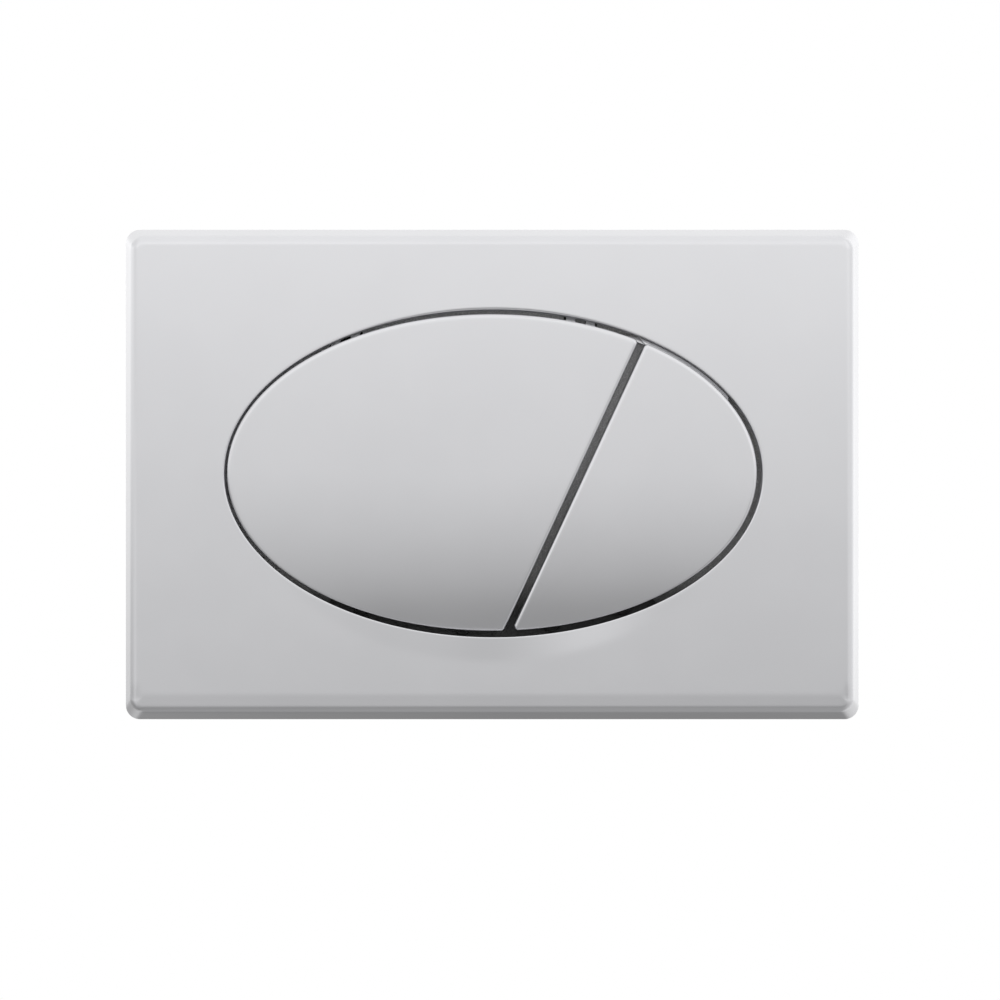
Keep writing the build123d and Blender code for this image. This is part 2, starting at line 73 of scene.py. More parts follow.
def slab(outline, front, back):  # a flat outline carried along Y, with a flat cap at each end
    outline = np.asarray(outline)
    size = len(outline)
    points, faces = stack([ringAt(outline, back), ringAt(outline, front)])
    return points, faces + [list(range(size))[::-1], list(range(size, 2 * size))]


def sideSlab(profile, left, right):  # a (y, z) profile carried along X
    points, faces = slab(profile, left, right)
    return points[:, [1, 0, 2]], faces


def block(x, y, z):  # a plain block between limits on the three axes
    return slab([(x[0], z[0]), (x[1], z[0]), (x[1], z[1]), (x[0], z[1])], *y)


def spin(profile, x, z, steps=64):  # (radius, depth) pairs carried round an axis along Y
    radius, depth = np.asarray(profile, float).T
    turn = np.linspace(0, 2 * pi, steps, endpoint=False)
    across = x + radius[:, None] * np.cos(turn)
    up = z + radius[:, None] * np.sin(turn)
    return np.stack([across, np.repeat(depth[:, None], steps, 1), up], 2)


def roundRows(x, z, turn, rings):  # rings about an axis along Y: a radius, or one for each angle, at a depth
    rows = []
    for radius, depth in rings:
        rows.append(ringAt(np.stack([x + radius * np.cos(turn), z + radius * np.sin(turn)], 1), depth))
    return stack(rows, wrap=True)


def arc(start, end, steps):  # angles in degrees, as radians
    return np.linspace(radians(start), radians(end), steps)


def roundedEnd(radius, end, size, way, steps=8):
    # (radius, depth) pairs of a quarter circle, from an end's flat to its side; it faces this way along Y
    turn = arc(90, 0, steps)
    return np.stack([radius - size + size * np.cos(turn), end + way * size * (np.sin(turn) - 1)], 1)


def barbedStrip(root, step, end, plain, barbed, barb, tip):
    # (y, z) profile of a straight strip whose barbed side steps out by the barb and slopes in to the tip
    outward = [(root, plain), (end, plain), (end, barbed + tip)]
    return outward + [(step, barbed + barb), (step, barbed), (root, barbed)]


def makePiece(name, shells, slot, body, replaced=(), sharp=38):  # one object from several closed shells
    points, faces, base = [], [], 0
    for shellPoints, shellFaces in shells:
        points.append(shellPoints)
        faces += [[index + base for index in face] for face in shellFaces]
        base += len(shellPoints)
    mesh = bpy.data.meshes.new(name)
    mesh.from_pydata((np.vstack(points) * mm).tolist(), [], faces)
    work = bmesh.new()
    work.from_mesh(mesh)
    bmesh.ops.recalc_face_normals(work, faces=work.faces)
    work.to_mesh(mesh)
    work.free()
    mesh.shade_smooth()
    mesh.set_sharp_from_angle(angle=radians(sharp))
    mesh.materials.append(finishes[slot])
    piece = bpy.data.objects.new(name, mesh)
    bpy.context.scene.collection.objects.link(piece)
    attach(piece, body)
    if replaced:
        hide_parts(*replaced)
    print("piece", name, len(mesh.polygons), "faces")
    return piece


# Shader helpers

class Wire:  # a socket that takes part in Python sums
    def __init__(self, tree, socket):
        self.tree = tree
        self.socket = socket

    @classmethod
    def node(cls, tree, kind, settings=None, sockets=None, out=0):  # any node: type, settings, sockets
        made = tree.nodes.new("ShaderNode" + kind)
        for key, value in (settings or {}).items():
            if key == "stops":
                ramp = made.color_ramp.elements
                while len(ramp) < len(value):
                    ramp.new(1.0)
                for stop, (place, level) in zip(ramp, value):
                    stop.position = place
                    stop.color = (level, level, level, 1)
            else:
                setattr(made, key, value)
        for key, value in (sockets or {}).items():
            if isinstance(value, Wire):
                tree.links.new(value.socket, made.inputs[key])
            else:
                made.inputs[key].default_value = value
        return cls(tree, made.outputs[out] if len(made.outputs) else None)

    def math(self, operation, first, second=0.0):
        return Wire.node(self.tree, "Math", {"operation": operation}, {0: first, 1: second})

    def __add__(self, other):
        return self.math("ADD", self, other)

    def __sub__(self, other):
        return self.math("SUBTRACT", self, other)

    def __rsub__(self, other):
        return self.math("SUBTRACT", other, self)

    def __mul__(self, other):
        return self.math("MULTIPLY", self, other)

    def __abs__(self):
        return self.math("ABSOLUTE", self)

    __radd__ = __add__
    __rmul__ = __mul__

    def between(self, start, end):  # 0 up to the start, 1 from the end on, smooth between; it may also fall
        sockets = {"Value": self, "From Min": start, "From Max": end}
        return Wire.node(self.tree, "MapRange", {"interpolation_type": "SMOOTHSTEP"}, sockets)

    def noise(self, grain, detail=2.0):  # cloud over this place, of about one grain size in metres
        return Wire.node(self.tree, "TexNoise", {}, {"Vector": self, "Scale": 1 / grain, "Detail": detail})

    def split(self):  # the three parts of a place or direction
        return [Wire.node(self.tree, "SeparateXYZ", {}, {0: self}, axis) for axis in "XYZ"]

    def tint(self, low, high):  # colour between two ends
        low, high = (end if isinstance(end, Wire) else (*end, 1) for end in (low, high))
        return Wire.node(self.tree, "Mix", {"data_type": "RGBA"}, {0: self, 6: low, 7: high}, 2)

    def bump(self, depth):  # normal of a surface that rises by this height, in metres
        return Wire.node(self.tree, "Bump", {}, {"Height": self, "Distance": depth})


# Finishes, one for each slot of the record: places and sizes are in metres

finishes = {}


def makeFinish(name, build):  # a material whose sockets come from its place on the piece
    material = bpy.data.materials.new(name)
    material.use_nodes = True
    tree = material.node_tree
    tree.nodes.clear()
    place = Wire.node(tree, "TexCoord", out="Object")
    shader = Wire.node(tree, "BsdfPrincipled", {}, build(place))
    Wire.node(tree, "OutputMaterial", {}, {"Surface": shader})
    finishes[name] = material


def grey(level, warm=0.0):  # a grey, or one with a little more red and less blue
    return (level * (1 + warm), level, level * (1 - warm))


def ovalShare(place, halfWidth, halfHeight):
    # squared distance from the plate's middle as a share of an oval's, then the depth and the height's share
    x, y, z = place.split()
    x, z = x * (1 / halfWidth), z * (1 / halfHeight)
    return x * x + z * z, y, z


def mottled(place, cloud, low, high, rough, spread, grain, rise, metal=0.0, detail=3.0):
    # a cloud that moves the colour and the roughness a little, over a fine grain
    patch = place.noise(cloud, detail)
    return {
        "Base Color": patch.tint(low, high),
        "Metallic": metal,
        "Roughness": rough + spread * patch,
        "Normal": place.noise(grain).bump(rise),
    }


satin = {
    "mist": 0.03, "grain": 0.00035, "rise": 0.000001, "rough": 0.27, "mistRough": 0.03, "recessRough": 0.45,
    "low": (0.734, 0.735, 0.753), "high": (0.749, 0.75, 0.768), "tones": (0.3, 0.7),
    "oval": (0.089, 0.0542), "inner": (0.975, 0.985), "outer": (1.1, 1.06), "behind": (-0.0125, -0.0112),
}


def satinChrome(place):
    mist = place.noise(satin["mist"], detail=3.0)
    oval, depth, _ = ovalShare(place, *satin["oval"])
    recess = oval.between(*satin["inner"]) * oval.between(*satin["outer"]) * depth.between(*satin["behind"])
    rough = satin["rough"] + satin["mistRough"] * mist
    return {
        "Base Color": mist.between(*satin["tones"]).tint(satin["low"], satin["high"]),
        "Metallic": 1.0,
        "Roughness": rough + satin["recessRough"] * recess,  # the plating is duller inside the opening
        "Normal": place.noise(satin["grain"]).bump(satin["rise"]),
    }


# the pale shelf tones are partly the carrier's own grey grain and partly painted light in the shaded gap; the
# height range fades them out to painted shade lower in the gap
dark = {
    "spark": 0.0006, "speck": 0.0004, "speckTones": (0.5, 0.7), "sparkShare": 0.4, "rise": 0.0001,
    "rough": 0.62, "plainLow": grey(0.085), "plainHigh": grey(0.13), "shelfGapLitLow": grey(0.6),
    "shelfGapLitHigh": grey(0.92), "oval": (0.09125, 0.05635), "within": (1.03, 1.0), "before": (0.0024, 0.0016),
    "above": (-0.85, -0.55),
}


def darkMoulding(place):
    spark = place.noise(dark["spark"], detail=3.0)
    speck = place.noise(dark["speck"], detail=0.0).between(*dark["speckTones"])
    fleck = dark["sparkShare"] * spark + (1 - dark["sparkShare"]) * speck
    oval, depth, height = ovalShare(place, *dark["oval"])
    # painted light: a pale patch inside the opening and in front, which fades out lower down as painted shade
    shelfAndGapLight = oval.between(*dark["within"]) * depth.between(*dark["before"])
    shelfAndGapLight = shelfAndGapLight * height.between(*dark["above"])
    plain = spark.tint(dark["plainLow"], dark["plainHigh"])
    flecksWithGapLight = fleck.tint(dark["shelfGapLitLow"], dark["shelfGapLitHigh"])
    return {
        "Base Color": shelfAndGapLight.tint(plain, flecksWithGapLight),  # the shelf in the gap is pale: partly its own grey grain, partly painted light in the gap the buttons shade, fading to painted shade lower down
        "Roughness": dark["rough"],
        "Normal": spark.bump(dark["rise"]),
    }


def paleMoulding(place):
    tones = {"low": grey(0.66, warm=0.02), "high": grey(0.72, warm=0.02)}
    return mottled(place, cloud=0.02, **tones, rough=0.45, spread=0.1, grain=0.0005, rise=0.00002)


def greyMoulding(place):
    tones = {"low": grey(0.2), "high": grey(0.24)}
    return mottled(place, cloud=0.008, **tones, rough=0.45, spread=0.1, grain=0.0005, rise=0.00002)


def naturalNylon(place):
    tones = {"low": (0.70, 0.68, 0.60), "high": (0.76, 0.74, 0.67)}
    look = mottled(place, cloud=0.01, **tones, rough=0.34, spread=0.1, grain=0.0006, rise=0.00001)
    return {**look, "Subsurface Weight": 0.08, "Subsurface Radius": (0.002, 0.002, 0.0016)}


def zincSteel(place):
    tones = {"low": (0.52, 0.54, 0.56), "high": (0.66, 0.66, 0.64)}
    fine = {"grain": 0.0003, "rise": 0.000004}
    return mottled(place, cloud=0.004, **tones, rough=0.26, spread=0.18, **fine, metal=1.0, detail=4.0)


def brightSteel(place):
    tones = {"low": grey(0.60, warm=0.01), "high": grey(0.68, warm=0.01)}
    fine = {"grain": 0.0002, "rise": 0.000002}
    return mottled(place, cloud=0.003, **tones, rough=0.16, spread=0.12, **fine, metal=1.0)


def padRubber(place):
    tones = {"low": grey(0.05), "high": grey(0.08)}
    return mottled(place, cloud=0.002, **tones, rough=0.75, spread=0.1, grain=0.0004, rise=0.00003)


slots = (
    ("satin_chrome", satinChrome, ("front_plate", "full_button", "half_button")),
    ("dark_moulding", darkMoulding, ("button_carrier",)),
    ("pale_moulding", paleMoulding, ("mounting_frame",)),
    ("grey_moulding", greyMoulding, (
        "clamp_nut_left", "clamp_nut_right", "full_rod_head", "half_rod_head", "full_rod_nut", "half_rod_nut",
    )),
    ("natural_nylon", naturalNylon, ("full_push_rod", "half_push_rod", "full_rod_guide", "half_rod_guide")),
    ("zinc_steel", zincSteel, ("carrier_screws", "fixing_stud_left", "fixing_stud_right")),
    ("bright_steel", brightSteel, (
        "full_hinge_pins", "half_hinge_pins", "full_return_spring", "half_return_spring",
    )),
    ("pad_rubber", padRubber, ("stop_pads",)),
)
for slotName, build, nodeNames in slots:
    makeFinish(slotName, build)
    for nodeName in nodeNames:
        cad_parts[nodeName].data.materials.clear()
        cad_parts[nodeName].data.materials.append(finishes[slotName])
print("finishes made:", len(finishes))


# Front plate: one closed skin of rings, with ribs, bosses and snap tongues in its hollow

plate = {
    "halfWidth": 123.5, "halfHeight": 82.5, "front": -13.0, "draft": 17.0, "corner": 4.7, "edge": 3.2,
    "lowEdge": 2.7, "skin": 2.4, "skinBack": -10.6, "cavityCorner": 2.3,
    "bevelTop": -73.0, "bevelAngle": 2.8, "crease": 0.7,
    "ovalX": 89.0, "ovalZ": 54.2, "ovalAt": (0.44, 0.15), "collarWall": 1.6, "collarBack": -8.6, "flare": 0.7,
    "mouth": 0.9, "lowMouth": 0.25, "sideMouth": 0.45, "mouthPower": 20, "sidePower": 6,
    "scoopX": 78.5, "scoopZ": 52.0, "scoopLow": 9.95, "scoopReach": 7.6, "scoopDepth": 0.14,
    "scoopEase": 0.012, "scoopSpan": (-2.0, 4.0), "halvings": 40,
    "twist": -0.9, "twistBells": ((-1.0, 0.0, 14.0), (2.9, 32.0, 21.0)),
    "wallRows": 5, "edgeRows": 11, "faceRows": 68, "mouthRows": 9, "ceilingRows": 6, "root": -11.0,
    "ribs": (-80, -40, 0, 40, 80), "rib": 1.2, "ribSink": 0.5, "ribEnd": 77.4,
    "bossX": 89.55, "bossZ": 58.15, "boss": 3.3, "pilot": 1.5, "bossBack": -6.6, "bossSteps": 40,
    "tongueX": 60.0, "tongueZ": 70.675, "tongue": 10.0, "tongueHalf": 0.8, "tongueEnd": -0.5,
    "barb": 1.0, "barbTip": 0.2, "barbStep": -1.8,
}


def roundedRect(halfWidth, halfHeight, corner, cornerSteps=16, longSteps=190, tallSteps=120):
    # four quarter arcs joined by straight runs, with the outward direction at each point
    turn = arc(0, 90, cornerSteps)
    arcs, outs = [], []
    for quarter, (side, level) in enumerate(((1, 1), (-1, 1), (-1, -1), (1, -1))):
        out = np.stack([np.cos(turn + quarter * pi / 2), np.sin(turn + quarter * pi / 2)], 1)
        arcs.append(np.array([side * (halfWidth - corner), level * (halfHeight - corner)]) + corner * out)
        outs.append(out)
    ring, normals = [], []
    for quarter in range(4):
        steps = longSteps if quarter % 2 == 0 else tallSteps
        share = np.linspace(0, 1, steps + 2)[1:-1, None]
        end, start = arcs[quarter][-1], arcs[(quarter + 1) % 4][0]
        ring += [arcs[quarter], end + share * (start - end)]
        normals += [outs[quarter], np.repeat(outs[quarter][-1:], steps, 0)]
    return np.vstack(ring), np.vstack(normals)


def bevelDrop(z):  # depth and slope of a straight fall below the crease, with a short parabola across it
    below = plate["bevelTop"] - z
    ease, steep = plate["crease"], tan(radians(plate["bevelAngle"]))
    bend = (below + ease) ** 2 / (4 * ease)
    fall = np.where(below < -ease, 0, np.where(below > ease, below, bend))
    slope = np.clip((below + ease) / (2 * ease), 0, 1)
    return fall * steep, slope * steep


def scoopDrop(x, z):
    # depth of a flat oval cone: the share of its reach solves the inset oval through each point, by halving,
    # and a constant with two bell curves across the plate makes it fall in on the right and swell on the left
    low, high = (np.full(x.shape, limit) for limit in plate["scoopSpan"])
    for _ in range(plate["halvings"]):
        middle = (low + high) / 2
        inset = middle * plate["scoopReach"]
        across = x / (plate["scoopX"] - inset)
        up = (z + plate["scoopLow"]) / (plate["scoopZ"] - inset)
        inside = across ** 2 + up ** 2 < 1
        low, high = np.where(inside, middle, low), np.where(inside, high, middle)
    ease = plate["scoopEase"]
    bells = sum(size * np.exp(-((x - at) / width) ** 2) for size, at, width in plate["twistBells"])
    return (plate["twist"] + bells) * ease * np.logaddexp(0, low * plate["scoopDepth"] / ease)


def plateFace(outline):  # depth of the front face at (x, z) points
    x, z = outline.T
    return plate["front"] + bevelDrop(z)[0] + scoopDrop(x, z)


def ovalPoints(outline):  # points of the opening on the rays through an outline, with their outward normals
    halfWidth, halfHeight = plate["ovalX"], plate["ovalZ"]
    spoke = outline - np.array(plate["ovalAt"])
    turn = np.arctan2(spoke[:, 1] / halfHeight, spoke[:, 0] / halfWidth)
    normal = np.stack([halfHeight * np.cos(turn), halfWidth * np.sin(turn)], 1)
    oval = np.stack([halfWidth * np.cos(turn), halfHeight * np.sin(turn)], 1) + np.array(plate["ovalAt"])
    return oval, normal / np.linalg.norm(normal, axis=1)[:, None]


def plateSkin():
    # rings in order: a straight drafted wall, an arc that touches the wall and the face, straight lines over
    # the face to the opening, a quarter circle into it, and the collar, ceiling and wall of the hollow
    draft = radians(plate["draft"])
    base, out = roundedRect(plate["halfWidth"], plate["halfHeight"], plate["corner"])
    smaller = roundedRect(plate["halfWidth"] - 1, plate["halfHeight"] - 1, plate["corner"])[0]
    slide = smaller - base  # how a point moves for 1 mm of inset
    edge = plate["lowEdge"] + (plate["edge"] - plate["lowEdge"]) * np.clip(out[:, 1] + 1, 0, 1)
    drop, slope = bevelDrop(base[:, 1])
    tilt = np.arctan(slope * -out[:, 1])  # the face leans by this along the outward direction
    # centre of the edge round: one radius inside the wall line and the face line of each section
    wallLine = np.broadcast_to([cos(draft), sin(draft)], (len(tilt), 2))
    faceLine = np.stack([np.sin(tilt), np.cos(tilt)], 1)
    reach = (-plate["front"] - drop) * np.cos(tilt) - edge
    limits = np.stack([-edge, reach], 1)[:, :, None]
    centre = np.linalg.solve(np.stack([wallLine, faceLine], 1), limits)[:, :, 0]
    wallTop = centre + edge[:, None] * wallLine
    rows = []
    for share in np.linspace(0, 1, plate["wallRows"]):
        rows.append(ringAt(base - share * wallTop[:, :1] * slide, -share * wallTop[:, 1]))
    for share in np.linspace(0, 1, plate["edgeRows"])[1:]:
        angle = draft + share * (pi / 2 - tilt - draft)
        across = centre[:, 0] + edge * np.cos(angle) - wallTop[:, 0]
        height = centre[:, 1] + edge * np.sin(angle)
        rows.append(ringAt(base - wallTop[:, :1] * slide + across[:, None] * out, -height))
    border = rows[-1][:, [0, 2]]
    oval, normal = ovalPoints(border)
    topShare = np.clip(normal[:, 1], 0, 1) ** plate["mouthPower"]
    mouth = plate["lowMouth"] + (plate["mouth"] - plate["lowMouth"]) * topShare
    mouth += plate["sideMouth"] * np.abs(normal[:, 0]) ** plate["sidePower"]
    mouthEdge = oval + mouth[:, None] * normal
    for share in np.linspace(0, 1, plate["faceRows"])[1:]:
        outline = border + share * (mouthEdge - border)
        rows.append(ringAt(outline, plateFace(outline)))
    lipDepth = rows[-1][:, 1]
    for angle in arc(0, 90, plate["mouthRows"])[1:]:
        outline = oval + mouth[:, None] * (1 - sin(angle)) * normal
        rows.append(ringAt(outline, lipDepth + mouth * (1 - cos(angle))))
    collar = oval + plate["collarWall"] * normal
    flared = oval + plate["flare"] * np.clip(-normal[:, 1:], 0, 1) * normal  # it opens to the back below
    rows += [ringAt(flared, plate["collarBack"]), ringAt(collar, plate["collarBack"])]
    innerWidth, innerHeight = plate["halfWidth"] - plate["skin"], plate["halfHeight"] - plate["skin"]
    narrow = -plate["skinBack"] * tan(draft)
    ceiling = roundedRect(innerWidth - narrow, innerHeight - narrow, plate["cavityCorner"])[0]
    for share in np.linspace(0, 1, plate["ceilingRows"]):
        rows.append(ringAt(collar + share * (ceiling - collar), plate["skinBack"]))
    rows.append(ringAt(roundedRect(innerWidth, innerHeight, plate["cavityCorner"])[0], 0.0))
    return stack(rows, wrap=True)


def snapTongue(x, level):  # a barbed strip carried along X, at the top or the bottom
    low, high = plate["tongueZ"] - plate["tongueHalf"], plate["tongueZ"] + plate["tongueHalf"]
    heights = (level * height for height in (low, high, plate["barb"], plate["barbTip"]))
    profile = barbedStrip(plate["root"], plate["barbStep"], plate["tongueEnd"], *heights)
    return sideSlab(profile, x - plate["tongue"] / 2, x + plate["tongue"] / 2)


def plateShells():  # skin, ribs from the collar outwards, and in each quarter a bored boss and a snap tongue
    shells = [plateSkin()]
    root, thick = plate["root"], plate["rib"] / 2
    outerX, outerZ = plate["ovalX"] + plate["collarWall"], plate["ovalZ"] + plate["collarWall"]
    for x in plate["ribs"]:
        start = outerZ * sqrt(1 - (x / outerX) ** 2) - plate["ribSink"]
        for level in (-1, 1):
            ends = sorted((level * start, level * plate["ribEnd"]))
            shells.append(block((x - thick, x + thick), (root, plate["collarBack"]), ends))
    boss = [
        (plate["pilot"], root), (plate["pilot"], plate["bossBack"]),
        (plate["boss"], plate["bossBack"]), (plate["boss"], root),
    ]
    for side in (-1, 1):
        for level in (-1, 1):
            rings = spin(boss, side * plate["bossX"], level * plate["bossZ"], plate["bossSteps"])
            shells += [stack(rings, wrap=True), snapTongue(side * plate["tongueX"], level)]
    return shells


makePiece("chromed_plate", plateShells(), "satin_chrome", "plate_unit", ("front_plate",))


# Buttons: one closed skin of rings each, from the inside's middle round the skirt to the face's middle

caps = {  # what both buttons share
    "halfWidth": 87.65, "halfHeight": 52.55, "raise": 0.4, "front": -14.5, "back": -6.5, "skin": 2.2,
    "wall": 1.8, "edge": 1.2, "lowEdge": 0.55, "corner": 1.5, "innerCorner": 0.4,
    "gap": 1.12, "lean": 24.9, "offset": 29.5,
    "drop": 4.6, "slope": 15.6, "ease": 30.0, "lead": 12.3, "rollSteps": 1500,
    "pole": 0.04, "insideRows": 16, "edgeRows": 11, "faceRows": 72, "facePower": 0.9,
    "rib": 1.2, "ribBack": -8.5, "ribRoot": 0.8, "ribInset": 1.0, "ribGap": 2.2, "ribSteps": 24,
    "crossRibs": (-12, 18), "crossBack": -8.6, "crossRoot": 2.0,
    "rodX": 42.0, "rodZ": -12.0, "post": 4.0, "postTip": -2.9, "postRound": 1.5, "postRoot": -13.4,
    "hingeY": -5.0, "eye": 3.0, "eyeArc": (-48.2, 175, 24), "lugInner": 1.75, "lugOuter": 4.75,
    "lugRoot": -13.0, "lugInset": 0.6, "lugDrop": 13.2, "lugHeel": 2.0, "lugNeck": 2.95,
    "hookRoot": -12.3, "hookStep": 5.0, "hookEnd": 7.0, "hookHalf": 0.8, "hookBarb": 1.4, "hookWide": 2.5,
    "ledgeSteps": 60,
}
hingeLip = {  # under the plate's collar: the outset and the left end of each of its two edges
    "edges": ((3.0, 52.7), (0.25, 42.3)), "right": 78.5, "raise": 0.0, "front": -8.0, "back": -6.6,
}
topLedge = {  # shallow, along the upper edge
    "edges": ((1.2, 49.0), (-0.6, 51.8)), "right": 78.5, "raise": caps["raise"],
    "front": -10.2, "back": -8.8,
}
fullButton = {
    "side": -1, "hinges": (-48.9, 29.5), "hingeZ": 57.35, "ribs": (-66, -18, 6, -42), "hook": (-24, -37),
    "middle": (-22.0, 2.0), "ledges": (), "springKeep": 0.598,
}
halfButton = {
    "side": 1, "hinges": (60.04, 73.0), "hingeZ": 48.35, "ribs": (64, 42), "hook": (50, -30),
    "middle": (52.0, -4.0), "ledges": (hingeLip, topLedge), "springKeep": 0.618,
}
lean = radians(caps["lean"])
dividerUp = np.array([sin(lean), cos(lean)])
dividerOut = np.array([cos(lean), -sin(lean)])
dividerAt = np.array([caps["offset"], 0.0])


def crown(z):  # depth and slope of the buttons' face: flat above the middle, a Bezier roll below it
    front, low, dip = caps["front"], -caps["halfHeight"], radians(caps["slope"])
    share = np.linspace(0, 1, caps["rollSteps"])[:, None]
    rest = 1 - share
    knots = np.array([
        (front, 0), (front, -caps["ease"]),
        (front + caps["drop"] - caps["lead"] * sin(dip), low + caps["lead"] * cos(dip)),
        (front + caps["drop"], low),
    ])
    roll = rest ** 3 * knots[0] + 3 * share * rest ** 2 * knots[1]
    roll = roll + 3 * share ** 2 * rest * knots[2] + share ** 3 * knots[3]
    depth, height = roll[::-1].T
    slope = np.gradient(depth, height)
    slope[-1] = 0
    return np.interp(z, height, depth), np.interp(z, height, slope)


def outwardFan(fromOut, toOut, steps):  # directions that swing evenly from one to another
    begin = np.arctan2(fromOut[1], fromOut[0])
    swing = (np.arctan2(toOut[1], toOut[0]) - begin) % (2 * pi)
    angle = begin + swing * np.linspace(0, 1, steps + 2)[1:-1]
    return np.stack([np.cos(angle), np.sin(angle)], 1)


def capCore(side, inset, corner, ovalSteps=300, fanSteps=14, lineSteps=150):
    # an oval cut off by the divider's line, with outward directions: the outline lies one corner radius out
    halfWidth, halfHeight = caps["halfWidth"] - inset - corner, caps["halfHeight"] - inset - corner
    start = dividerAt + side * (caps["gap"] + inset + corner) * dividerOut
    # the line start + t * up meets the oval where a quadratic in t is zero
    scale = np.array([1 / halfWidth, 1 / halfHeight])
    begin, step = start * scale, dividerUp * scale
    half, square = begin @ step, step @ step
    root = sqrt(half * half - square * (begin @ begin - 1))
    top, bottom = start + (root - half) / square * dividerUp, start - (root + half) / square * dividerUp
    first, last = (top, bottom) if side < 0 else (bottom, top)
    turnFrom = np.arctan2(first[1] / halfHeight, first[0] / halfWidth)
    turnTo = np.arctan2(last[1] / halfHeight, last[0] / halfWidth)
    turnTo += 2 * pi if turnTo < turnFrom else 0
    turn = np.linspace(turnFrom, turnTo, ovalSteps)
    oval = np.stack([halfWidth * np.cos(turn), halfHeight * np.sin(turn)], 1)
    ovalOut = np.stack([halfHeight * np.cos(turn), halfWidth * np.sin(turn)], 1)
    ovalOut /= np.linalg.norm(ovalOut, axis=1)[:, None]
    lineOut = -side * dividerOut
    line = last + np.linspace(0, 1, lineSteps)[:, None] * (first - last)
    fanLast, fanFirst = outwardFan(ovalOut[-1], lineOut, fanSteps), outwardFan(lineOut, ovalOut[0], fanSteps)
    core = np.vstack([oval, np.repeat(last[None], fanSteps, 0), line, np.repeat(first[None], fanSteps, 0)])
    return core, np.vstack([ovalOut, fanLast, np.repeat(lineOut[None], lineSteps, 0), fanFirst])


def buttonSkin(button):
    # rings in order: shares of the inner outline, one skin behind the crown, the skirt's end, an arc that
    # touches the skirt and the crown, and shares of the border on the crown
    side, middle, corner = button["side"], np.array(button["middle"]), caps["corner"]
    inCore, inOut = capCore(side, caps["wall"], caps["innerCorner"])
    inner = inCore + caps["innerCorner"] * inOut
    core, out = capCore(side, 0.0, corner)
    outer = core + corner * out
    edge = caps["edge"] - (caps["edge"] - caps["lowEdge"]) * np.clip(-out[:, 1], 0, 1) ** 2
    rows = []
    for share in np.linspace(caps["pole"], 1, caps["insideRows"]):
        outline = middle + share * (inner - middle)
        rows.append(ringAt(outline, crown(outline[:, 1])[0] + caps["skin"]))
    rows += [ringAt(inner, caps["back"]), ringAt(outer, caps["back"])]
    rim, slope = crown(outer[:, 1])
    tilt = np.arctan(slope * out[:, 1])  # the face leans back by this along the outward direction
    centre = -rim + (edge * np.sin(tilt) - edge) / np.cos(tilt)
    for share in np.linspace(0, 1, caps["edgeRows"]):
        angle = share * (pi / 2 - tilt)
        inset = edge * (1 - np.cos(angle))
        rows.append(ringAt(core + (corner - inset)[:, None] * out, -centre - edge * np.sin(angle)))
    border = rows[-1][:, [0, 2]]
    for share in np.linspace(1, 0, caps["faceRows"])[1:-1] ** caps["facePower"]:
        outline = middle + share * (border - middle)
        rows.append(ringAt(outline, crown(outline[:, 1])[0]))
    return stack(np.array(rows) + np.array([0, 0, caps["raise"]]), poles=True)


def ovalHeight(x, inset):  # half the height, at x, of the caps' oval made smaller all round
    return (caps["halfHeight"] - inset) * sqrt(1 - (x / (caps["halfWidth"] - inset)) ** 2)


def lug(button, left, right):  # a strap from inside the cap to an eye behind the plate, drawn in profile
    y, z = caps["hingeY"], button["hingeZ"]
    top = ovalHeight(max(abs(left), abs(right)), caps["lugInset"])
    root, foot = caps["lugRoot"], top - caps["lugDrop"]
    turn = arc(*caps["eyeArc"])
    eye = np.stack([y + caps["eye"] * np.cos(turn), z + caps["eye"] * np.sin(turn)], 1)
    heel, neck = [(root, foot), (y + caps["lugHeel"], foot)], [(y - caps["lugNeck"], top), (root, top)]
    return sideSlab(np.vstack([heel, eye, neck]), left, right)


def ledgeSlab(ledge):  # a flat ledge between two ovals about the cap's outline
    bounds = []
    for outset, left in ledge["edges"]:
        halfWidth, halfHeight = caps["halfWidth"] + outset, caps["halfHeight"] + outset
        ends = np.arccos(np.array([ledge["right"], left]) / halfWidth)
        turn = np.linspace(*ends, caps["ledgeSteps"])
        bounds.append(np.stack([halfWidth * np.cos(turn), halfHeight * np.sin(turn) + ledge["raise"]], 1))
    return slab(np.vstack([bounds[0], bounds[1][::-1]]), ledge["front"], ledge["back"])


